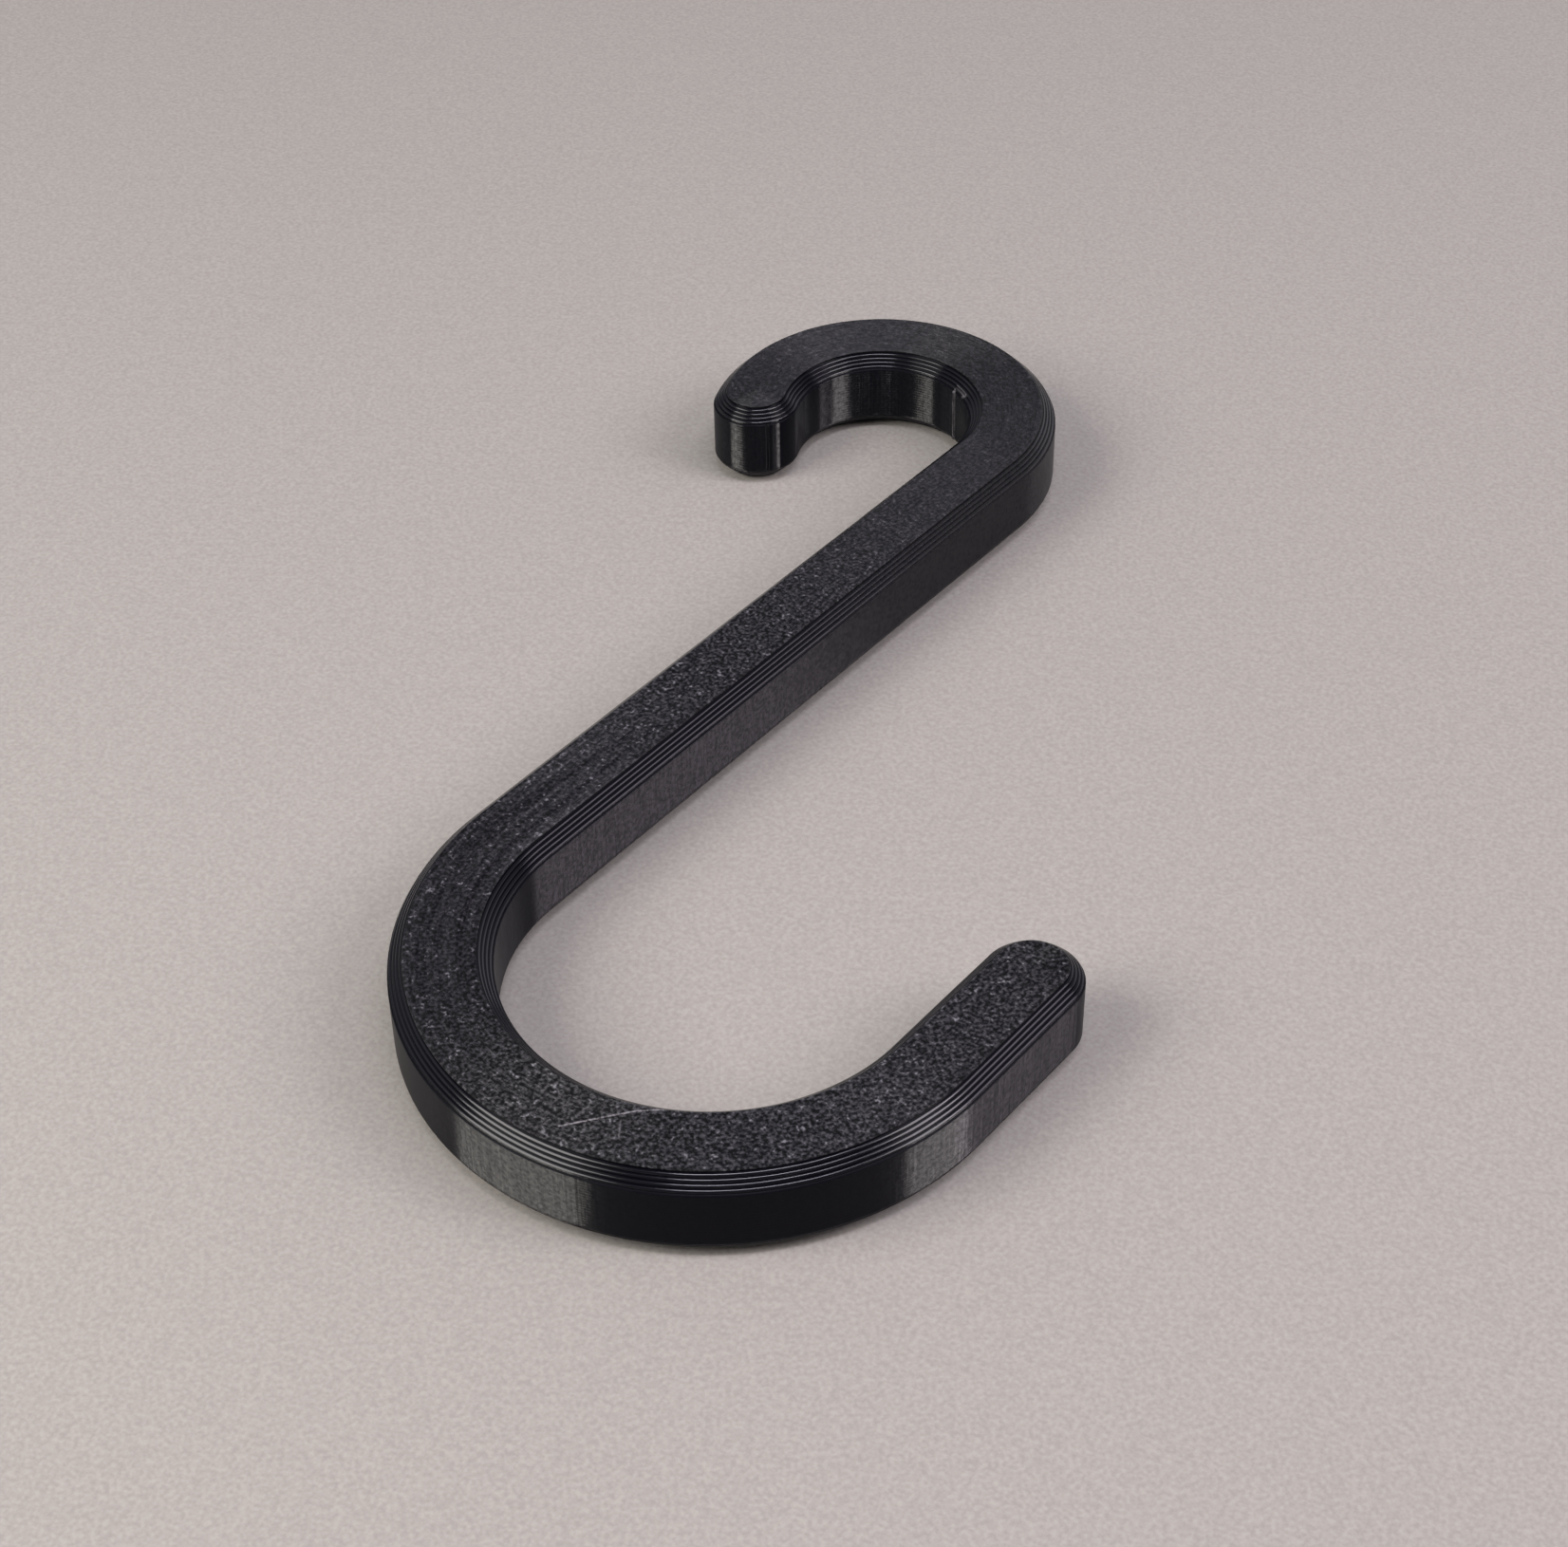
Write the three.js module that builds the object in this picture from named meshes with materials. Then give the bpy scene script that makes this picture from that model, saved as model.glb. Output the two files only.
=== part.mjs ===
// S-shaped hook for a kitchen rail, printed lying flat, in one piece of black plastic.
//
// Millimetres, +Z up. The hook lies on its side, as it was printed. The origin is on the
// underside, below the middle of the shank, and the shank runs along Y. The small bend at the
// +Y end goes over the rail, and its tip closes in on the rail. The large bend at the -Y end
// carries the load and runs out into a straight lip.
//
// The bar is as wide at one end as at the other. Its centreline is a chain of straights and
// bends, each leaving the one before it without a corner. The outline runs half a width to
// either side of that chain, with a half circle round each end, and the edges of the top and
// bottom faces are chamfered all the way round.

import * as THREE from 'three';

// Bar
const barWidth = 6;
const barThickness = 6;
const edgeChamfer = 1;

// Shank, from where one bend ends to where the other starts
const shankLength = 48;

// Rail bend: the bore is its inside diameter, and past 180 degrees the tip turns inwards
const railBore = 12;
const railSweepDegrees = 205;

// Load bend, and the lip from its end to where the rounded tip starts
const loadBore = 25;
const loadSweepDegrees = 180;
const lipLength = 9;

// Facets on each bend and each rounded tip
const arcFacets = 64;

// Outline points closer together than this are one point
const samePoint = 1e-6;

const blackPlastic = new THREE.MeshStandardMaterial({
  color: 0x1c1c1e,
  roughness: 0.5,
  metalness: 0,
});

const quarterTurn = Math.PI / 2;

// The point a distance away from another, at an angle to +X
function pointFrom(point, angle, distance) {
  return new THREE.Vector2(Math.cos(angle), Math.sin(angle)).multiplyScalar(distance).add(point);
}

// The points of an arc, both ends included. It runs clockwise if its end angle is the smaller.
function arcPoints(centre, radius, startAngle, endAngle) {
  const clockwise = endAngle < startAngle;
  const arc = new THREE.EllipseCurve(
    centre.x, centre.y, radius, radius, startAngle, endAngle, clockwise);
  return arc.getPoints(arcFacets);
}

// A stretch of the bar takes the place where it starts, a point and a heading, and gives the
// outline on its left and on its right, and the place where it ends.

function straight(length) {
  return ({ point, heading }) => {
    const end = pointFrom(point, heading, length);
    const side = (turn) => [point, end].map((p) => pointFrom(p, heading + turn, barWidth / 2));
    return { left: side(quarterTurn), right: side(-quarterTurn), end: { point: end, heading } };
  };
}

// A bend to the left round a bore
function bend(bore, sweepDegrees) {
  return ({ point, heading }) => {
    const sweep = THREE.MathUtils.degToRad(sweepDegrees);
    const radius = bore / 2 + barWidth / 2;
    const centre = pointFrom(point, heading + quarterTurn, radius);
    const startAngle = heading - quarterTurn;
    const endAngle = startAngle + sweep;
    return {
      left: arcPoints(centre, bore / 2, startAngle, endAngle),
      right: arcPoints(centre, bore / 2 + barWidth, startAngle, endAngle),
      end: { point: pointFrom(centre, endAngle, radius), heading: heading + sweep },
    };
  };
}

// The half circle that closes the bar where its last stretch ends
function roundedTip({ point, heading }) {
  return arcPoints(point, barWidth / 2, heading + quarterTurn, heading - quarterTurn);
}

// The outline of one half of the hook, from the middle of the shank: out along the left of its
// stretches, round its tip and back along their right
function halfOutline(heading, stretches) {
  const left = [];
  const right = [];
  let place = { point: new THREE.Vector2(0, 0), heading };
  for (const stretch of stretches) {
    const side = stretch(place);
    left.push(...side.left);
    right.push(...side.right);
    place = side.end;
  }
  return [...left, ...roundedTip(place), ...right.reverse()];
}

// A closed outline without the doubled points where its stretches meet
function withoutDoubles(points) {
  return points.filter((point, index) => {
    const previous = points.at(index - 1);
    return point.distanceTo(previous) > samePoint;
  });
}

function hookOutline() {
  const halfShank = straight(shankLength / 2);
  const railHalf = [halfShank, bend(railBore, railSweepDegrees)];
  const loadHalf = [halfShank, bend(loadBore, loadSweepDegrees), straight(lipLength)];
  return withoutDoubles([
    ...halfOutline(quarterTurn, railHalf),
    ...halfOutline(-quarterTurn, loadHalf),
  ]);
}

// The outline raised to the bar's thickness, with one flat bevel as the chamfer at each face.
// The negative offset keeps the full width between the chamfers.
function hookGeometry() {
  const geometry = new THREE.ExtrudeGeometry(new THREE.Shape(hookOutline()), {
    depth: barThickness - 2 * edgeChamfer,
    bevelEnabled: true,
    bevelThickness: edgeChamfer,
    bevelSize: edgeChamfer,
    bevelOffset: -edgeChamfer,
    bevelSegments: 1,
  });
  return geometry.translate(0, 0, edgeChamfer);
}

const hook = new THREE.Mesh(hookGeometry(), blackPlastic);
hook.name = 'hook';

const railHook = new THREE.Group();
railHook.add(hook);

export default railHook;
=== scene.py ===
# %% [markdown]
# # A printed kitchen rail hook
#
# The hook is one piece of black plastic, printed lying flat in thin layers. Two things make it
# look printed rather than moulded. Its sloping edges are little staircases, one step to a layer,
# and its top face shows the lines that the nozzle drew beside each other. This lesson builds the
# hook layer by layer as one surface, gives it its plastic, and sets it on a pale table.
#
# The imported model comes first. It is the frame that everything else has to fit.

import math

import bmesh
import bpy
import numpy as np
from mathutils import Matrix, Vector


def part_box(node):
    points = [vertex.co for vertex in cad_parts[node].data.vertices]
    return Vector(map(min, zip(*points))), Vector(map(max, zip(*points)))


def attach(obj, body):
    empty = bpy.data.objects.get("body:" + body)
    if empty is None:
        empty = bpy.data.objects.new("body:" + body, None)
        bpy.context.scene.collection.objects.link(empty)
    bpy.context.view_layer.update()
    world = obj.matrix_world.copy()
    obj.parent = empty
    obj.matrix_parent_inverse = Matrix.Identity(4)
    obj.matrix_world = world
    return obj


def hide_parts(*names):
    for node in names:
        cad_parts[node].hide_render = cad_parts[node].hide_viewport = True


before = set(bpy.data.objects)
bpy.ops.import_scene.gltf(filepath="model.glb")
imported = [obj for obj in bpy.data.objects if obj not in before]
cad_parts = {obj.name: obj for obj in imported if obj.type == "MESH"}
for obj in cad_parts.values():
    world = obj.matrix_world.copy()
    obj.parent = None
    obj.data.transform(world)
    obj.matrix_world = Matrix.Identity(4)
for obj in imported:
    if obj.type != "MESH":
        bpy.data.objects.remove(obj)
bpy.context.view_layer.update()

# %% [markdown]
# ## Sizes
#
# The hook is a bar of one width that runs along a chain of straights and bends. Nearly all of its
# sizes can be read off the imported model's box. The bar is square, so the box's height is its
# width too. The lip side of the load bend reaches one bore and one and a half bars from the
# middle of the shank, and the rail bend does the same on its side. What is left of the length is
# the shank. Only the two sweeps, the lip, the chamfer and the layers have to be named here.

# %% Work out the sizes, in metres
MM = 0.001

box_low, box_high = (np.array(corner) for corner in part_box("hook"))
bar = box_high[2] - box_low[2]
load_bore = box_high[0] - 1.5 * bar
rail_bore = -box_low[0] - 1.5 * bar
half_shank = box_high[1] - bar - rail_bore / 2
rail_sweep = math.radians(205)
load_sweep = math.radians(180)
lip = 9 * MM
chamfer = 1 * MM
layer = 0.2 * MM
tiny = 1e-9  # smaller differences than this, in metres or in unit vectors, are none

sizes = {"bar": bar, "load bore": load_bore, "rail bore": rail_bore, "half shank": half_shank}
for name, value in sizes.items():
    print(f"{name}: {value / MM:.2f} mm")

# %% [markdown]
# ## Camera
#
# A long lens from a hand's length away keeps the shank's sides nearly parallel. The camera is
# placed as a tripod would be: by what it looks at, how far off it stands and at which angles.
# Azimuth 0 looks along +Y and 90 along -X. A camera and a lamp both look along their own -Z, so
# one helper makes the matrix of either from three axes and a place.

# %% Place the camera
aim = Vector((5.51 * MM, -5.31 * MM, 0))
camera_distance = 192.8 * MM
camera_azimuth = math.radians(39.15)
camera_elevation = math.radians(40.82)
camera_roll = math.radians(-1.0)
camera_lens = 70.63


def look_from(azimuth, elevation, roll=0.0):
    """The camera's right, up and forward axes. Forward points down by the elevation and round
    by the azimuth, and right and up are turned about it by the roll."""
    forward = Vector((
        -math.sin(azimuth) * math.cos(elevation),
        math.cos(azimuth) * math.cos(elevation),
        -math.sin(elevation),
    ))
    level = Vector((math.cos(azimuth), math.sin(azimuth), 0))
    upright = level.cross(forward)
    right = level * math.cos(roll) + upright * math.sin(roll)
    up = upright * math.cos(roll) - level * math.sin(roll)
    return right, up, forward


def axes_matrix(place, right, up, forward):
    """A matrix for a camera or a lamp, which both look along their own -Z."""
    rotation = Matrix((right, up, -forward)).transposed()
    return Matrix.Translation(place) @ rotation.to_4x4()


right, up, forward = look_from(camera_azimuth, camera_elevation, camera_roll)
camera_data = bpy.data.cameras.new("camera")
camera_data.lens = camera_lens
camera_data.sensor_width = 36
camera_data.clip_start = 0.01
camera = bpy.data.objects.new("camera", camera_data)
camera.matrix_world = axes_matrix(aim - forward * camera_distance, right, up, forward)
bpy.context.scene.collection.objects.link(camera)
bpy.context.scene.camera = camera
print("camera at", [round(v / MM, 1) for v in camera.location], "mm")

# %% [markdown]
# ## Table
#
# The hook lies on a sheet of pale paper with a faint tooth. The tooth is a fine noise between two
# nearly equal colours, because paper is so flat that relief would not show from this far off.
# The sheet is large, so no view from the side finds its edge.

# %% Set the table
def paper_material(name, darker, lighter, roughness):
    """A fine noise between two nearly equal colours. A noise has a lattice, which would show on
    a level sheet, so the sheet cuts through it at a slant."""
    material = bpy.data.materials.new(name)
    material.use_nodes = True
    nodes, links = material.node_tree.nodes, material.node_tree.links
    place = nodes.new("ShaderNodeTexCoord")
    slant = nodes.new("ShaderNodeMapping")
    slant.inputs["Rotation"].default_value = (0.6, 0.4, 0.0)
    tooth = nodes.new("ShaderNodeTexNoise")
    tooth.inputs["Scale"].default_value = tooth_fine
    tooth.inputs["Detail"].default_value = 2
    colours = nodes.new("ShaderNodeValToRGB")
    for stop, position, colour in zip(colours.color_ramp.elements, (0.3, 0.7), (darker, lighter)):
        stop.position = position
        stop.color = (*colour, 1)
    shader = nodes["Principled BSDF"]
    shader.inputs["Roughness"].default_value = roughness
    links.new(place.outputs["Object"], slant.inputs["Vector"])
    links.new(slant.outputs["Vector"], tooth.inputs["Vector"])
    links.new(tooth.outputs["Fac"], colours.inputs["Fac"])
    links.new(colours.outputs["Color"], shader.inputs["Base Color"])
    return material


tooth_fine = 3800  # noise cells to a metre
table_half = 6
table_corners = [(x * table_half, y * table_half, 0)
                 for x, y in ((-1, -1), (1, -1), (1, 1), (-1, 1))]
paper_darker, paper_lighter = (0.311, 0.293, 0.278), (0.385, 0.363, 0.344)
paper_rough = 0.85
table_mesh = bpy.data.meshes.new("table")
table_mesh.from_pydata(table_corners, [], [(0, 1, 2, 3)])
table = bpy.data.objects.new("table", table_mesh)
table_mesh.materials.append(paper_material("pale_table", paper_darker, paper_lighter, paper_rough))
bpy.context.scene.collection.objects.link(table)
print("table:", 2 * table_half, "m wide")

# %% [markdown]
# ## Light
#
# Black plastic shows hardly any colour, so its look is mostly what it reflects. A spot shines
# when it faces halfway between the camera and a lamp. So a lamp's compass direction says where
# its band falls along a bend, and its height says on which slopes. Seven soft lamps stand in for
# a room: a near one to the left and one to the right, three walls, and two high ones. Each is
# wide enough for a soft shadow and narrow enough to draw a band of its own on the round walls.

# %% Hang the lamps
def soft_lamp(name, place, width, tall, radiance, colour):
    """A rectangular lamp at a place in mm, facing the middle of the hook. Its power is
    pi * area * radiance, so a lamp keeps its brightness as its size changes."""
    place = Vector(place) * MM
    lamp_data = bpy.data.lights.new(name, "AREA")
    lamp_data.shape = "RECTANGLE"
    lamp_data.size = width * MM
    lamp_data.size_y = tall * MM
    lamp_data.energy = math.pi * lamp_data.size * lamp_data.size_y * radiance
    lamp_data.color = colour
    facing = -place.normalized()
    level = facing.cross(Vector((0, 0, 1))).normalized()
    lamp = bpy.data.objects.new(name, lamp_data)
    lamp.matrix_world = axes_matrix(place, level, level.cross(facing), facing)
    bpy.context.scene.collection.objects.link(lamp)
    return lamp


soft_lamp("left_lamp", (-110, -246, 225), 212, 206, 7.7, (1.0, 0.955, 0.885))
soft_lamp("right_lamp", (320, 110, 300), 150, 230, 8.0, (1.0, 0.925, 0.94))
soft_lamp("right_wall", (340, 243, 282), 173, 180, 3.4, (1.0, 0.88, 1.0))
soft_lamp("far_wall", (135, 559, 175), 640, 255, 0.6, (1.0, 0.95, 1.0))
soft_lamp("left_wall", (-571, -164, 371), 520, 280, 0.3, (1.0, 0.97, 0.92))
soft_lamp("high_lamp", (290, -253, 1346), 560, 140, 22.5, (0.96, 0.92, 1.0))
soft_lamp("high_right", (638, 147, 1560), 540, 150, 12.5, (0.96, 0.92, 1.0))


def soft_room(name, colour, bright_side, darkest, brightest):
    """A world whose light grows from darkest to brightest as a direction turns to the bright
    side, given in degrees from +X: strength = a straight run of the cosine between the two."""
    world = bpy.data.worlds.new(name)
    world.use_nodes = True
    nodes, links = world.node_tree.nodes, world.node_tree.links
    direction = nodes.new("ShaderNodeTexCoord")
    cosine = nodes.new("ShaderNodeVectorMath")
    cosine.operation = "DOT_PRODUCT"
    turn, raised = math.radians(bright_side), 0.3
    cosine.inputs[1].default_value = (math.cos(turn), math.sin(turn), raised)
    strength = nodes.new("ShaderNodeMapRange")
    strength.inputs["From Min"].default_value = -1
    strength.inputs["To Min"].default_value = darkest
    strength.inputs["To Max"].default_value = brightest
    links.new(direction.outputs["Generated"], cosine.inputs[0])
    links.new(cosine.outputs["Value"], strength.inputs["Value"])
    links.new(strength.outputs["Result"], nodes["Background"].inputs["Strength"])
    nodes["Background"].inputs["Color"].default_value = (*colour, 1)
    return world


bpy.context.scene.world = soft_room(
    "soft_room", (0.95, 0.95, 1.0), bright_side=130, darkest=0.03, brightest=0.28)
bpy.context.scene.view_settings.view_transform = "Standard"

# %% [markdown]
# ## The way round the hook
#
# A printer draws each layer as a closed loop, so the surface is built the same way: one loop of
# stations runs round the hook, up the inside of each bend, round the tip and back along the
# outside. A station is a point of the bar's centreline and a direction that leads out of the
# bar. Every layer is then the same loop moved out by its own distance, which is why the chamfer
# stays even round the bends and the tips.

# %% Walk along the centreline
def with_detail(start, end, count, spots=(), reach=0.0, extra=13):
    """Evenly spaced values, and a tight cluster of further ones round each spot."""
    values = [np.linspace(start, end, count)]
    values += [np.linspace(spot - reach, spot + reach, extra) for spot in spots]
    values = np.concatenate(values)
    return np.unique(values[(values >= start) & (values <= end)].round(9))


def unit(angles):
    """Unit vectors at angles to +X, as rows."""
    return np.stack([np.cos(angles), np.sin(angles)], axis=-1)


def straight(place, length, count):
    """A straight stretch: points = start + heading * distance, with the way to the left of the
    heading as their direction out."""
    point, heading = place
    along = np.linspace(0, length, count)[:, None]
    points = point + along * unit(heading)
    left = np.broadcast_to(unit(heading + math.pi / 2), points.shape)
    return points, left, (points[-1], heading)


def bend(place, bore, sweep, count, spots=(), reach=0.0):
    """A bend to the left round a bore: points = centre + radius * unit(angle). The way to the
    left is the way to the centre."""
    point, heading = place
    radius = bore / 2 + bar / 2
    centre = point + radius * unit(heading + math.pi / 2)
    angles = heading - math.pi / 2 + with_detail(0, sweep, count, spots, reach)
    points = centre + radius * unit(angles)
    return points, -unit(angles), (points[-1], heading + sweep)


# Where the printer started its loops, and where a thread of plastic sticks to the rail bend.
# Both get a cluster of stations, which reaches a few degrees to each side.
tip_seam, seam_reach = math.radians(-36), math.radians(6)
thread_angle, thread_reach = math.radians(69), math.radians(4)

# How many stations each stretch gets
shank_count, rail_count, load_count, lip_count, tip_count = 21, 92, 104, 9, 37

shank_start = np.zeros(2)
rail_half = []
points, left, place = straight((shank_start, math.pi / 2), half_shank, shank_count)
rail_half.append((points, left))
points, left, place = bend(
    place, rail_bore, rail_sweep, rail_count, (thread_angle,), thread_reach)
rail_half.append((points, left))
rail_end = place

load_half = []
points, left, place = straight((shank_start, -math.pi / 2), half_shank, shank_count)
load_half.append((points, left))
points, left, place = bend(place, load_bore, load_sweep, load_count)
load_half.append((points, left))
points, left, place = straight(place, lip, lip_count)
load_half.append((points, left))
load_end = place
print("rail tip at", (rail_end[0] / MM).round(2), "lip ends at", (load_end[0] / MM).round(2), "mm")

# %% [markdown]
# The two halves start at the middle of the shank and go opposite ways. Each runs out along its
# own left, round its tip and back, and one after the other they make the whole loop. Where two
# stretches meet, both bring the same station, and one of the two has to go: a doubled station
# would leave a row of squares without width.

# %% Join the stretches into one loop
def round_tip(end, count, spots=(), reach=0.0):
    """The half circle of directions that takes the loop from the bar's left to its right."""
    point, heading = end
    turned = -with_detail(-math.pi / 2, math.pi / 2, count, spots, reach)
    directions = unit(heading + turned)
    return np.broadcast_to(point, directions.shape), directions


def half_loop(stretches, tip):
    """Out along the left of the stretches, round the tip, and back along their right."""
    points = np.concatenate([p for p, _ in stretches])
    left = np.concatenate([d for _, d in stretches])
    tip_points, tip_directions = tip
    return (np.concatenate([points, tip_points, points[::-1]]),
            np.concatenate([left, tip_directions, -left[::-1]]))


seam_turn = rail_end[1] - tip_seam - 2 * math.pi
rail_tip = round_tip(rail_end, tip_count, (seam_turn,), seam_reach)
load_tip = round_tip(load_end, tip_count)
halves = [half_loop(rail_half, rail_tip), half_loop(load_half, load_tip)]
loop_points = np.concatenate([points for points, _ in halves])
loop_out = np.concatenate([out for _, out in halves])

# Doubled stations, where two stretches meet, are dropped
moved = np.abs(np.roll(loop_points, 1, 0) - loop_points).sum(1)
turned = np.abs(np.roll(loop_out, 1, 0) - loop_out).sum(1)
fresh = moved + turned > tiny
loop_points, loop_out = loop_points[fresh], loop_out[fresh]
wall_points = loop_points + loop_out * bar / 2
steps = np.linalg.norm(np.roll(wall_points, -1, 0) - wall_points, axis=1)
loop_length = np.concatenate([[0], np.cumsum(steps)[:-1]])
print(len(loop_points), "stations, loop", round(steps.sum() / MM, 1), "mm long")

# %% [markdown]
# ## The section, layer by layer
#
# Thirty layers of 0.2 mm lie on each other. The side of each is a bead of soft plastic, so it
# bulges. Where the bar's sides stand upright the beads touch and leave a fine notch between
# them. On the chamfers each layer is set in by its own height, and the bead lies open: a flat
# tread, a sloping flank that glints, and an upright riser that stays dark. Creases keep the
# three apart, because shading that ran smoothly round the bead would smear the glint over it.
# The top face is drawn with lines side by side, so it gets a row of low crowns.

# %% Draw half of the section
line_width = 0.41 * MM
line_dip = 0.02 * MM

# The side of a layer as (out, up) in layer heights, from its outermost point and its middle.
# The third number is 1 where the surface turns with a crease.
free_shoulder = np.array([
    (-0.544, 0.500, 1), (-0.366, 0.409, 0), (-0.166, 0.259, 0), (-0.030, 0.113, 1), (0, -0.450, 1)])
pressed_top = np.array([(-0.012, 0.500, 1), (0, 0.200, 0)])
pressed_bottom = np.array([(-0.012, -0.500, 1)])


def bead_edges():
    """Each layer's distance from the centreline to its outermost point, from the top layer
    down: half the bar, less what the chamfer takes at the layer's middle height."""
    count = round(bar / layer)
    middle = bar - (np.arange(count) + 0.5) * layer
    into_top = np.clip(middle - (bar - chamfer), 0, None)
    into_bottom = np.clip(chamfer - middle, 0, None)
    return bar / 2 - into_top - into_bottom, middle


def bead_section(edge, middle):
    """The sides of all layers below each other, as rows of out, height, layer and crease. A
    layer wider than its neighbour shows it a free shoulder, and otherwise they are pressed."""
    free_above = np.concatenate([[True], np.diff(edge) > tiny])
    free_below = np.concatenate([np.diff(edge) < -tiny, [True]])
    rows = []
    for number, (out, height) in enumerate(zip(edge, middle)):
        top = free_shoulder if free_above[number] else pressed_top
        bottom = free_shoulder[::-1] * (1, -1, 1) if free_below[number] else pressed_bottom
        side = np.concatenate([top, bottom])
        rows.append(np.column_stack([
            out + side[:, 0] * layer, height + side[:, 1] * layer,
            np.full(len(side), number), side[:, 2]]))
    return np.concatenate(rows)


def crown_section(end, level, points_each=3):
    """Low crowns from the centreline out to where the first bead starts:
    z = level - dip * |cos|^3, with one dip between each two lines."""
    lines = round(end / line_width)
    out = np.linspace(0, end, points_each * lines + 1)[:-1]
    height = level - line_dip * np.abs(np.cos(np.pi * out / end * lines)) ** 3
    return np.column_stack([out, height, 0 * out, 0 * out])


edge, middle = bead_edges()
beads = bead_section(edge, middle)
under = np.array([(beads[-1, 0] / 2, 0, len(edge) - 1, 0), (0, 0, len(edge) - 1, 0)])
section = np.concatenate([crown_section(beads[0, 0], bar), beads, under])

# Where two beads touch they share a point
moved_out, moved_up = np.diff(section[:, :2], axis=0, prepend=-1).T
apart = np.hypot(moved_out, moved_up) > tiny
section_out, section_height, section_layer, section_crease = section[apart].T
section_layer = section_layer.astype(int)
print(len(edge), "layers,", len(section_out), "points from the top's middle to the bottom's")

# %% [markdown]
# ## Small faults of the print
#
# No bead is drawn perfectly. Every layer wanders by a hundredth of a millimetre, so the glints
# along the chamfer swell and fade. Each loop has to start and stop somewhere, and that leaves
# an upright seam, here on the rail tip. A thread of plastic also stuck to the inside of the
# rail bend. These could be pieces of their own, but they are all small moves of the surface
# outwards or inwards, so one closed surface holds them.

# %% Let the layers wander
wander = 0.006 * MM
rng = np.random.default_rng(7)


def layer_wander(length, layers):
    """How far each layer falls short along the loop: a sum of waves that close on the loop, each
    with a random phase for its layer, from 0 to about twice the wander."""
    waves = np.array([5, 11, 19, 34, 57])
    phases = rng.uniform(0, 2 * np.pi, (layers, len(waves)))
    turn = 2 * np.pi * length[:, None, None] / steps.sum() * waves
    total = np.sin(turn + phases).sum(-1) / math.sqrt(len(waves))
    return -wander * np.clip(1 + total, 0, None)


print("layers fall short by about", wander / MM, "mm on average")

# %% [markdown]
# A seam or a thread is a mark along a path: the surface rises or sinks most on the path, and less
# the farther a point lies from it. A bell curve of that distance gives soft flanks, as melted
# plastic has.

# %% Mark seams and threads on the walls
def on_arc(centre, radius, angles, heights):
    """Points on an upright round wall, one to each angle and height."""
    places = centre + radius * unit(np.radians(angles))
    return np.column_stack([places, np.array(heights) * MM])


def distance_to_path(points, path):
    """The distance from each point to the nearest stretch of a path of straight stretches."""
    nearest = np.full(len(points), np.inf)
    for start, end in zip(path[:-1], path[1:]):
        stretch = end - start
        share = np.clip((points - start) @ stretch / (stretch @ stretch), 0, 1)
        away = np.linalg.norm(points - start - share[:, None] * stretch, axis=1)
        nearest = np.minimum(nearest, away)
    return nearest


def mark(points, path, width, rise):
    """A ridge, or a groove for a negative rise, along a path: rise * exp(-(d / width)^2)."""
    return rise * np.exp(-(distance_to_path(points, path) / width) ** 2)


rail_centre = np.array([-rail_bore / 2 - bar / 2, half_shank])
rail_in = rail_bore / 2
seam_angle = math.degrees(tip_seam)
seam_lip_angle = seam_angle + 13
# Each mark is a path, how wide it is and how far it rises
marks = {
    "tip_seam": (on_arc(rail_end[0], bar / 2, [seam_angle] * 2, [0.1, 4.9]),
                 0.08 * MM, -0.12 * MM),
    "tip_seam_lip": (on_arc(rail_end[0], bar / 2, [seam_lip_angle] * 2, [0.3, 4.9]),
                     0.06 * MM, 0.03 * MM),
    "thread": (on_arc(rail_centre, rail_in, [69, 69.5, 70], [1.0, 3.0, 5.1]),
               0.10 * MM, 0.16 * MM),
    "thread_head": (on_arc(rail_centre, rail_in + 0.2 * MM, [70, 59, 61], [5.35, 5.3, 4.9]),
                    0.09 * MM, 0.14 * MM),
}
print("marks:", ", ".join(marks))

# %% [markdown]
# ## The whole surface
#
# The surface is a grid: the loop's stations one way and the section's points the other. A point
# is its station's place on the centreline, moved out by the section's distance and up by its
# height. On the centreline the two sides of the bar meet, so the grid's first and last columns
# share their points across the bar, and round the tips the squares there close to triangles.

# %% Work out the points
# Only the open layers of the chamfers wander, and the top face stays still: the wander sets in
# just inside the chamfer
rows, columns = len(loop_points), len(section_out)
wall_share = np.clip((section_out - bar / 2 + 1.2 * chamfer) / (0.2 * chamfer), 0, 1)
in_chamfer = (edge < bar / 2 - tiny)[section_layer]
shortfall = layer_wander(loop_length, len(edge))[:, section_layer] * wall_share * in_chamfer
flat = loop_points[:, None, :] + (section_out + shortfall)[:, :, None] * loop_out[:, None, :]
height = np.broadcast_to(section_height, (rows, columns))
grid = np.concatenate([flat, height[:, :, None]], axis=2)
moves = sum(mark(grid.reshape(-1, 3), *how) for how in marks.values()).reshape(rows, columns)
grid[:, :, :2] += moves[:, :, None] * loop_out[:, None, :]
print("points:", rows * columns, "largest mark", round(float(np.abs(moves).max()) / MM, 3), "mm")

# %% [markdown]
# A square needs the numbers of its four corners and their places on the print's own map, which
# measures the way round the loop and the way over the section. The map has no seam inside a
# square: the last row of squares runs on to the loop's full length, and doesn't jump back to 0.

# %% Number the corners and lay the map
def shared_numbers(points):
    """For each station, the first station with the same place on the centreline."""
    _, first, back = np.unique(points.round(9), axis=0, return_index=True, return_inverse=True)
    return first[back.ravel()]


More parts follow.
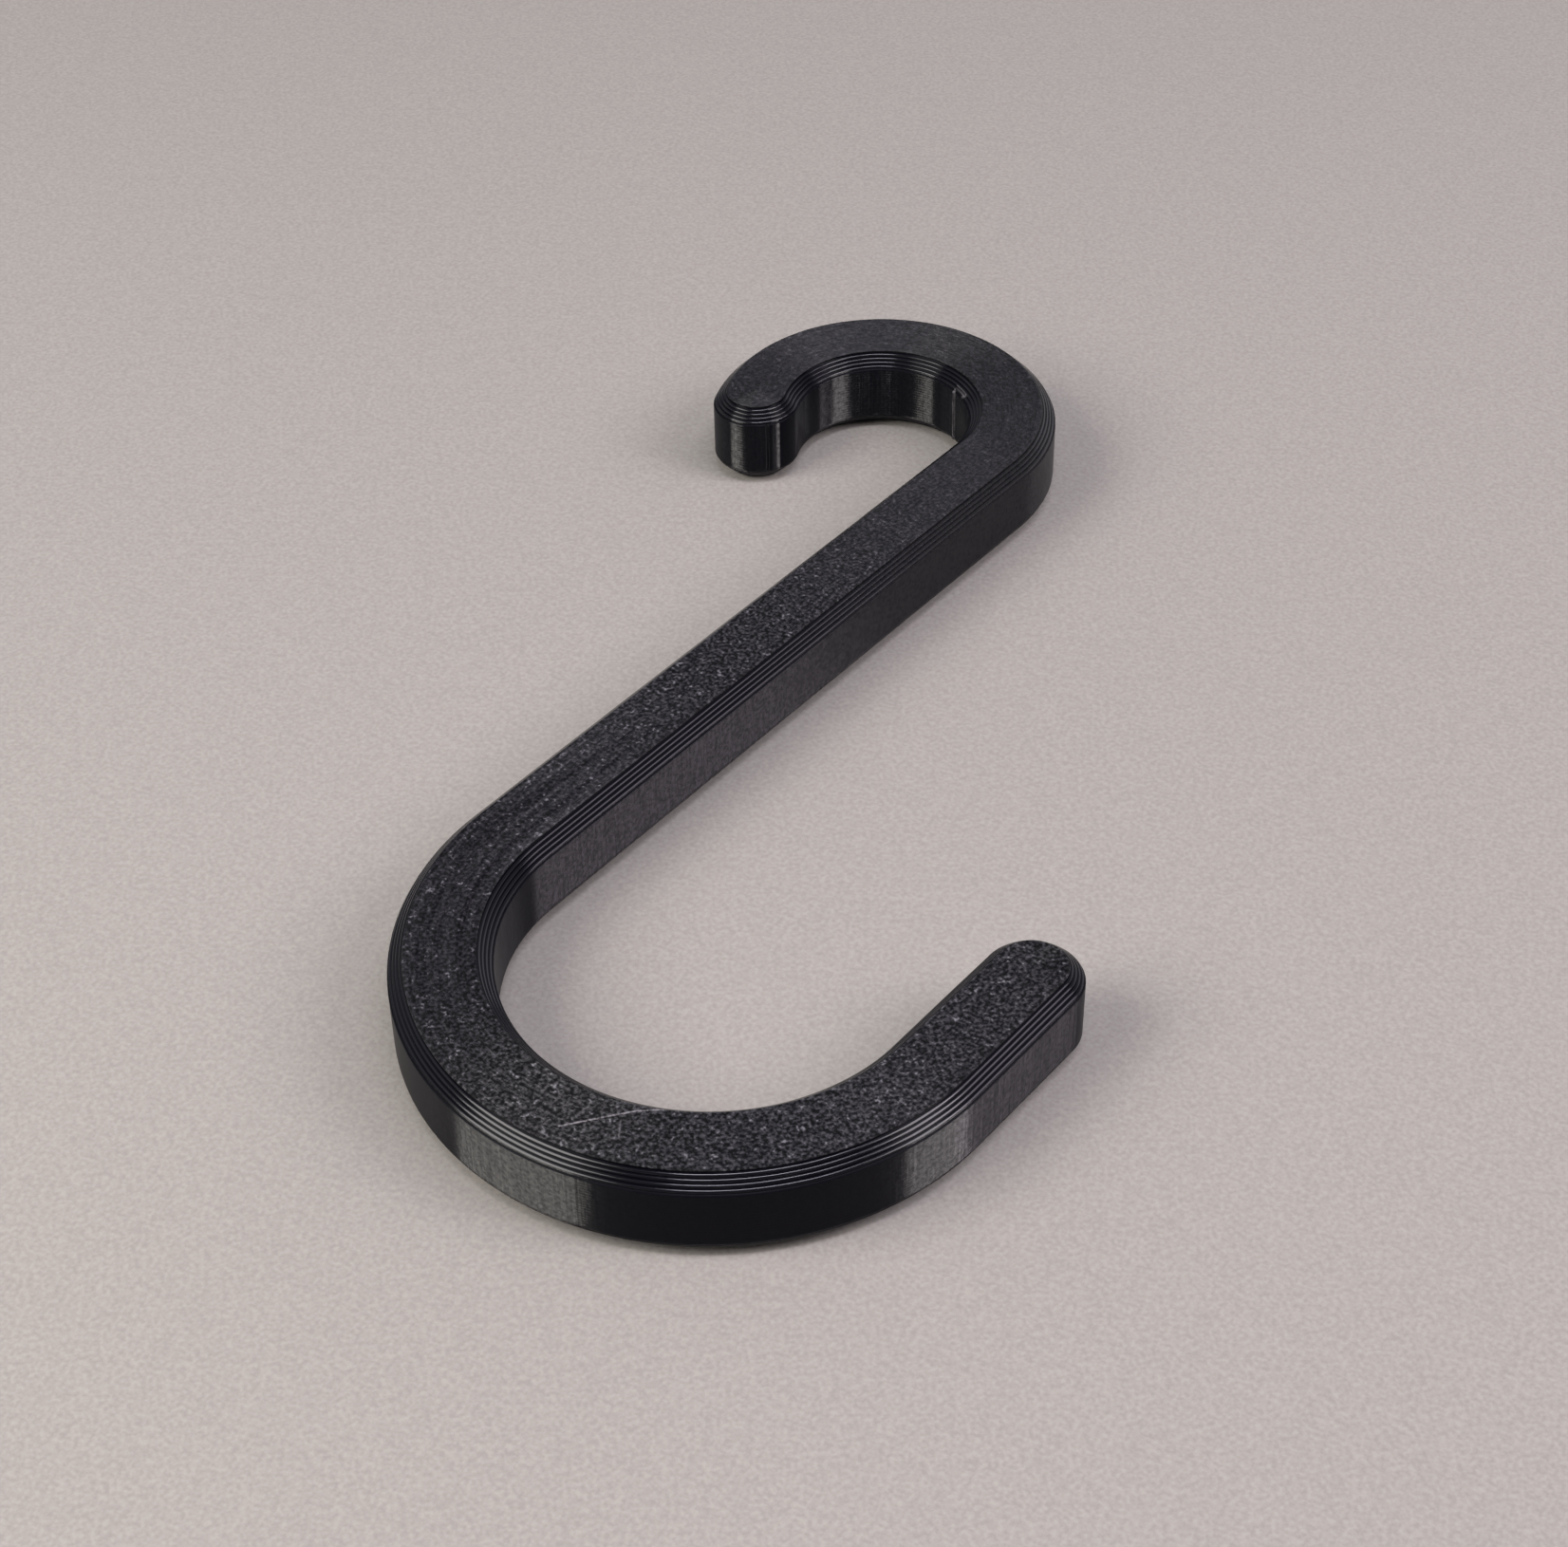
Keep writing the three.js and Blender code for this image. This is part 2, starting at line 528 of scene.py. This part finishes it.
number = np.arange(rows * columns).reshape(rows, columns)
same = shared_numbers(loop_points)
number[:, 0] = number[same, 0]
number[:, -1] = number[same, -1]
following = np.roll(number, -1, axis=0)
corners = np.stack(
    [following[:, :-1], following[:, 1:], number[:, 1:], number[:, :-1]], axis=-1)
loop_end = np.append(loop_length[1:], steps.sum())
section_length = np.concatenate(
    [[0], np.cumsum(np.hypot(np.diff(section_out), np.diff(section_height)))])
around = np.stack([loop_end, loop_end, loop_length, loop_length], axis=-1)
across = np.stack([section_length[:-1], section_length[1:], section_length[1:],
                   section_length[:-1]], axis=-1)
uv = np.stack(np.broadcast_arrays(around[:, None, :], across[None, :, :]), axis=-1)
corners, uv = corners.reshape(-1, 4), uv.reshape(-1, 4, 2)
print(len(corners), "squares, map", round(section_length[-1] / MM, 1), "mm over the section")

# %% [markdown]
# The arrays go into the mesh in one go each. Smooth shading is on all over, and the creases of
# the section become sharp edges, so that a chamfer's steps stay crisp while the bends stay round.

# %% Make the mesh
def grid_mesh(name, points, corners, uv, crease):
    """A mesh of squares. A square with a doubled corner becomes a triangle, and an edge between
    two points with a crease is sharp."""
    doubled = corners == np.roll(corners, -1, axis=1)
    real = doubled.sum(1) < 2
    corners, uv, doubled = corners[real], uv[real], doubled[real]
    kept = ~doubled
    sizes = kept.sum(1)
    used, renumbered = np.unique(corners[kept], return_inverse=True)
    mesh = bpy.data.meshes.new(name)
    mesh.vertices.add(len(used))
    mesh.vertices.foreach_set("co", points.reshape(-1, 3)[used].ravel())
    mesh.loops.add(int(sizes.sum()))
    mesh.loops.foreach_set("vertex_index", renumbered.ravel().astype(np.int32))
    mesh.polygons.add(len(sizes))
    mesh.polygons.foreach_set(
        "loop_start", np.concatenate([[0], np.cumsum(sizes)[:-1]]).astype(np.int32))
    mesh.uv_layers.new(name="print").data.foreach_set("uv", (uv[kept] / MM).ravel())
    mesh.update(calc_edges=True)
    mesh.shade_smooth()
    ends = np.empty(2 * len(mesh.edges), dtype=np.int32)
    mesh.edges.foreach_get("vertices", ends)
    ends = used[ends.reshape(-1, 2)]
    same_line = (ends % crease.size == np.roll(ends, 1, axis=1) % crease.size).all(1)
    mesh.edges.foreach_set("use_edge_sharp", same_line & crease[ends[:, 0] % crease.size])
    return mesh


hook_mesh = grid_mesh("printed_hook", grid, corners, uv, section_crease > 0)
hook = bpy.data.objects.new("printed_hook", hook_mesh)
bpy.context.scene.collection.objects.link(hook)
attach(hook, "root")
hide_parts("hook")
hook_mesh.calc_loop_triangles()
print(len(hook_mesh.vertices), "vertices,", len(hook_mesh.loop_triangles), "triangles")

# %% [markdown]
# A closed surface has just two faces at every edge, and its volume comes out positive only when
# its faces point outwards. bmesh can tell both.

# %% Check that the surface is closed and faces outwards
check = bmesh.new()
check.from_mesh(hook_mesh)
open_edges = sum(not edge.is_manifold for edge in check.edges)
volume = check.calc_volume(signed=True)
check.free()
print("open edges:", open_edges, "volume:", round(volume / MM ** 3), "cubic mm")

# %% [markdown]
# ## Black plastic
#
# The plastic is nearly black, so its look comes from how it shines and hardly from its colour.
# A point's height tells the top face from the upright walls, and the map laid round the hook,
# in millimetres, keeps streaks upright whichever way a wall turns. First come a few helpers that
# each add one node and link it, so that a finish can be written like a formula.

# %% Make the helpers for nodes
plastic = bpy.data.materials.new("black_plastic")
plastic.use_nodes = True
nodes, links = plastic.node_tree.nodes, plastic.node_tree.links
shader = nodes["Principled BSDF"]


def add(kind, **settings):
    """A new node with its settings."""
    node = nodes.new(kind)
    for name, value in settings.items():
        setattr(node, name, value)
    return node


def feed(socket, value):
    """Link another node's output to a socket, or set the socket to a number or a colour."""
    if isinstance(value, bpy.types.NodeSocket):
        links.new(value, socket)
    else:
        socket.default_value = value


def combine(operation, *values):
    """Numbers through one Math node."""
    node = add("ShaderNodeMath", operation=operation)
    for socket, value in zip(node.inputs, values):
        feed(socket, value)
    return node.outputs["Value"]


def combine_vectors(operation, *values):
    """Vectors through one Vector Math node."""
    node = add("ShaderNodeVectorMath", operation=operation)
    for socket, value in zip(node.inputs, values):
        feed(socket, value)
    return node.outputs["Value" if operation in ("DOT_PRODUCT", "LENGTH") else "Vector"]


def product(first, *others):
    """Values multiplied together."""
    for other in others:
        first = combine("MULTIPLY", first, other)
    return first


def ramp(value, low, high, start, end):
    """Start below low, end above high, and a straight run between them."""
    node = add("ShaderNodeMapRange")
    for socket, number in zip(node.inputs, (value, low, high, start, end)):
        feed(socket, number)
    return node.outputs["Result"]


def between(value, low, high, soft):
    """1 between two values, 0 outside them, with soft ends."""
    return product(ramp(value, low - soft, low + soft, 0.0, 1.0),
                   ramp(value, high - soft, high + soft, 1.0, 0.0))


def blend(share, first, second, kind="FLOAT"):
    """The first where the share is 0 and the second where it is 1, of two numbers, or of two
    colours for the kind RGBA."""
    node = add("ShaderNodeMix", data_type=kind)
    ends = ("A_Color", "B_Color") if kind == "RGBA" else ("A_Float", "B_Float")
    values = dict(zip(("Factor_Float", *ends), (share, first, second)))
    for socket in node.inputs:
        if socket.identifier in values:
            feed(socket, values[socket.identifier])
    return next(output for output in node.outputs if output.enabled)


def noise(vector, *scales, detail=2.0):
    """A noise from 0 to 1, with its own scale along each part of a vector."""
    node = add("ShaderNodeTexNoise")
    feed(node.inputs["Vector"], combine_vectors("MULTIPLY", vector, scales))
    for name, value in (("Scale", 1.0), ("Detail", detail), ("Roughness", 0.6)):
        feed(node.inputs[name], value)
    return node.outputs["Fac"]


def vary(noise_value, start, end):
    """From start to end over the values that a noise mostly takes, 0.3 to 0.7."""
    return ramp(noise_value, 0.3, 0.7, start, end)


print("nodes of an empty material:", [node.name for node in nodes])

# %% [markdown]
# A few masks say where on the hook a point is: 1 inside a place, 0 outside it, and a soft border
# between. The noises are of two kinds. The grain and the blotches are the same in every
# direction, so they read the place on the hook. The lines and the streaks follow the print, so
# they read the map, and a small number draws them out: the lines along the way round the hook,
# and the streaks up and down its walls.

# %% Tell the places apart and mix the noises
place_on_hook = add("ShaderNodeTexCoord").outputs["Object"]
print_map = add("ShaderNodeUVMap", uv_map="print").outputs["UV"]
parts = add("ShaderNodeSeparateXYZ")
feed(parts.inputs["Vector"], place_on_hook)
across_shank, along_shank, height_up = (parts.outputs[name] for name in "XYZ")

on_top = ramp(height_up, bar - 0.12 * MM, bar - 0.06 * MM, 0.0, 1.0)
on_wall = product(ramp(height_up, chamfer, 1.05 * chamfer, 0.0, 1.0),
                  ramp(height_up, bar - 0.88 * chamfer, bar - 0.91 * chamfer, 0.0, 1.0))
at_rail_end = ramp(along_shank, 0.0, 22 * MM, 0.0, 1.0)
at_left_bend = product(ramp(across_shank, 4 * MM, 13 * MM, 1.0, 0.0),
                       ramp(along_shank, -18 * MM, -8 * MM, 1.0, 0.0))

grain_fine, blotch_fine = 4200, 1500  # noise cells to a metre
grain = noise(place_on_hook, grain_fine, grain_fine, grain_fine)
blotches = noise(place_on_hook, blotch_fine, blotch_fine, blotch_fine)
# The next three have noise cells to a mm, first the way round and then over the section
drawn_lines = noise(print_map, 0.5, 6, 1)
broad_lines = noise(print_map, 0.08, 2.2, 1, detail=3.0)
streaks = noise(print_map, 8, 0.12, 1, detail=3.0)
print("places and noises:", len(nodes), "nodes so far")

# %% [markdown]
# ### The top face
#
# A hot nozzle drew the top as lines beside each other and left a fine grain on them. Grain that
# only tilts the surface is hard to see on black, so here it also changes how strongly a spot
# shines: a squared noise gives a few bright flecks among many dark ones. The lines are far
# finer than the grain, too fine to model one by one. They stretch a highlight across
# themselves, which is what Anisotropic does, and so the bends shine only where their lines run
# across the light. The rail end and the left of the load bend came out smoother, and on the
# left the broader marks of the lines show as rings.

# %% Finish the top face
least_shine, smooth_shine = 0.16, 0.65
fleck = ramp(grain, 0.34, 0.72, 0.0, 1.25)
top_shine = combine("ADD", product(fleck, fleck), least_shine)
smoother = combine("ADD", product(at_rail_end, 0.9), product(at_left_bend, 0.45))
ringed = combine("ADD", product(at_rail_end, 0.12), product(at_left_bend, 0.85))
top_shine = blend(smoother, top_shine, smooth_shine)
top_shine = product(top_shine, vary(blotches, 0.75, 1.25), vary(drawn_lines, 0.75, 1.25),
                    blend(ringed, 1.0, ramp(broad_lines, 0.38, 0.62, 0.3, 1.5)))

line_stretch, quarter_turn = 0.76, 0.25
feed(shader.inputs["Anisotropic"], product(on_top, line_stretch))
feed(shader.inputs["Anisotropic Rotation"], quarter_turn)
along_lines = add("ShaderNodeTangent", direction_type="UV_MAP", uv_map="print")
feed(shader.inputs["Tangent"], along_lines.outputs["Tangent"])

top_dark = (0.0010, 0.0010, 0.0018, 1)
top_light = (0.0170, 0.0160, 0.0215, 1)
speck_grey = (0.1180, 0.1150, 0.1350, 1)
speck = ramp(product(grain, blotches), 0.36, 0.42, 0.0, 1.0)
speck = product(speck, blend(at_rail_end, 1.0, 0.2))
top_colour = blend(ramp(grain, 0.42, 0.64, 0.0, 1.0), top_dark, top_light, "RGBA")
top_colour = blend(speck, top_colour, speck_grey, "RGBA")

relief_height = 0.05 * MM
relief = combine("ADD", product(grain, blend(at_rail_end, 1.4, 0.7)), product(drawn_lines, 2.5))
bump = add("ShaderNodeBump")
feed(bump.inputs["Strength"], 1.0)
feed(bump.inputs["Distance"], relief_height)
feed(bump.inputs["Height"], product(relief, on_top))
feed(shader.inputs["Normal"], bump.outputs["Normal"])
print("top face:", len(nodes), "nodes so far")

# %% [markdown]
# ### The walls
#
# The layers are pressed together on the walls, and each leaves a ridge too fine to see. All
# these ridges lean up alike, by some 48 degrees, so a wall flashes where its ridges face halfway
# between the camera and a lamp, and stays black beside that. A clear coat with a normal of its own
# does this without any modelling: the plastic below keeps the wall's true direction, and only
# the coat leans. The topmost bead of a wall is itself tilted up a little, so its coat leans
# less. Beside the seam on the rail tip the wall is dull.

# %% Lean the coat on the walls
least_lean, most_lean, topmost_tilt = 46.5, 49.0, 3.5  # degrees
coat_rough = 0.12
bead_tilt = ramp(height_up, bar - 1.22 * chamfer, bar - 1.19 * chamfer, 0.0, topmost_tilt)
lean = combine("SUBTRACT", vary(streaks, least_lean, most_lean), bead_tilt)
lean = combine("RADIANS", lean)
# A normal map keeps a direction as a colour, (direction + 1) / 2. The map laid round the hook
# runs down the walls, so a direction that leans up has less green.
leaning = add("ShaderNodeCombineColor")
feed(leaning.inputs["Red"], 0.5)
feed(leaning.inputs["Green"], combine("SUBTRACT", 0.5, product(combine("SINE", lean), 0.5)))
feed(leaning.inputs["Blue"], combine("ADD", 0.5, product(combine("COSINE", lean), 0.5)))
ridges = add("ShaderNodeNormalMap", uv_map="print")
feed(ridges.inputs["Color"], leaning.outputs["Color"])
feed(shader.inputs["Coat Normal"], ridges.outputs["Normal"])
feed(shader.inputs["Coat Roughness"], coat_rough)
print("leaning coat:", len(nodes), "nodes so far")


# %% Dull the tip beside its seam and finish the walls
def tip_place(angle):
    """How far along the loop, in mm, the rail tip's wall faces an angle in degrees: a straight
    run between the two stations whose directions lie to each side of it."""
    on_tip = np.abs(loop_points - rail_end[0]).max(1) < tiny
    facing = np.degrees(np.arctan2(loop_out[on_tip, 1], loop_out[on_tip, 0]))
    order = np.argsort(facing)
    return float(np.interp(angle, facing[order], loop_length[on_tip][order])) / MM


way_round = add("ShaderNodeSeparateXYZ")
feed(way_round.inputs["Vector"], print_map)
# Two dull stretches lie beside the seam, from one angle round the tip to another
dull = between(way_round.outputs["X"], tip_place(12), tip_place(-19), 0.04)
half_dull = between(way_round.outputs["X"], tip_place(-23.5), tip_place(-40), 0.06)
clear = combine("SUBTRACT", 1.0, combine("ADD", dull, product(half_dull, 0.75)))
feed(shader.inputs["Coat Weight"], product(
    clear, vary(streaks, 0.21, 0.37), ramp(grain, 0.36, 0.64, 0.65, 1.35), on_wall))

edge_shine, wall_shine, wall_rough = 0.40, 0.05, 0.38
side_shine = blend(on_wall, edge_shine, wall_shine)
feed(shader.inputs["Specular IOR Level"], blend(on_top, side_shine, top_shine))
feed(shader.inputs["Specular Tint"], (0.94, 0.95, 1.0, 1))
edge_rough = vary(streaks, 0.10, 0.17)
feed(shader.inputs["Roughness"], blend(
    on_top, blend(on_wall, edge_rough, wall_rough), vary(grain, 0.56, 0.66)))
print("walls:", len(nodes), "nodes so far")

# %% [markdown]
# ### A paler wall, scratches and the thread's painted highlight
#
# Two scratches cross the top of the load bend, pale as bruised plastic turns. The wall on the right
# of the shank is a paler grey toward the rail end. The thread inside the rail bend takes a painted
# highlight, a light grey for the lamps that its round sides reflect. The lines are each drawn as a
# path of straight stretches on the hook: a point's distance from the nearest one decides how much
# of the pale colour it takes.

# %% Draw the paler wall, the scratches and the thread's painted highlight
def near_line(start, end, width):
    """1 on a straight line between two places on the hook in mm, 0 at half the width from it.
    The nearest spot is start + share * (end - start), with the share kept from 0 to 1."""
    start, end = Vector(start) * MM, Vector(end) * MM
    stretch = end - start
    from_start = combine_vectors("SUBTRACT", place_on_hook, start)
    share = combine_vectors("DOT_PRODUCT", from_start, stretch / stretch.length_squared)
    nearest = combine_vectors("MULTIPLY", stretch, ramp(share, 0.0, 1.0, 0.0, 1.0))
    away = combine_vectors("LENGTH", combine_vectors("SUBTRACT", from_start, nearest))
    return ramp(away, 0.25 * width * MM, 0.5 * width * MM, 1.0, 0.0)


def near_path(path, width):
    """1 on a path of straight lines, 0 beside it."""
    nearest = 0.0
    for start, end in zip(path[:-1], path[1:]):
        nearest = combine("MAXIMUM", nearest, near_line(start, end, width))
    return nearest


# Places and widths in mm
level = bar / MM
long_scratch = near_path([(18.2, -40.2, level), (20.7, -36.9, level), (22.6, -35.2, level)], 0.14)
short_scratch = near_path([(20.5, -37.9, level), (21.3, -39.0, level)], 0.12)
scratches = combine("MAXIMUM", long_scratch, product(short_scratch, 0.4))
scratches = product(scratches, ramp(grain, 0.35, 0.55, 0.2, 1.0))

thread_path, head_path = (
    [tuple(point / MM) for point in marks[name][0]] for name in ("thread", "thread_head"))
thread = combine("MAXIMUM", near_path(thread_path, 0.32), near_path(head_path, 0.36))
thread = product(thread, ramp(blotches, 0.35, 0.6, 0.35, 1.0))

wall_black = (0.0032, 0.0034, 0.0058, 1)
wall_grey = (0.0150, 0.0145, 0.0165, 1)
scratch_grey = (0.2000, 0.1900, 0.2100, 1)
# The thread's light grey is a painted highlight, for the lamps its round sides reflect
thread_painted_highlight = (0.1200, 0.1150, 0.1250, 1)
# The wall on the right of the shank turns a paler grey toward the rail end
paler_toward_rail = product(ramp(across_shank, 0.0, 2.5 * MM, 0.0, 1.0),
                  ramp(along_shank, -6 * MM, 14 * MM, 0.0, 1.0),
                  ramp(grain, 0.35, 0.65, 0.5, 1.5))
wall_colour = blend(paler_toward_rail, wall_black, wall_grey, "RGBA")
colour = blend(on_top, wall_colour, top_colour, "RGBA")
colour = blend(scratches, colour, scratch_grey, "RGBA")
# The thread takes its painted highlight here
feed(shader.inputs["Base Color"], blend(thread, colour, thread_painted_highlight, "RGBA"))
hook_mesh.materials.append(plastic)
print("the whole plastic:", len(nodes), "nodes")
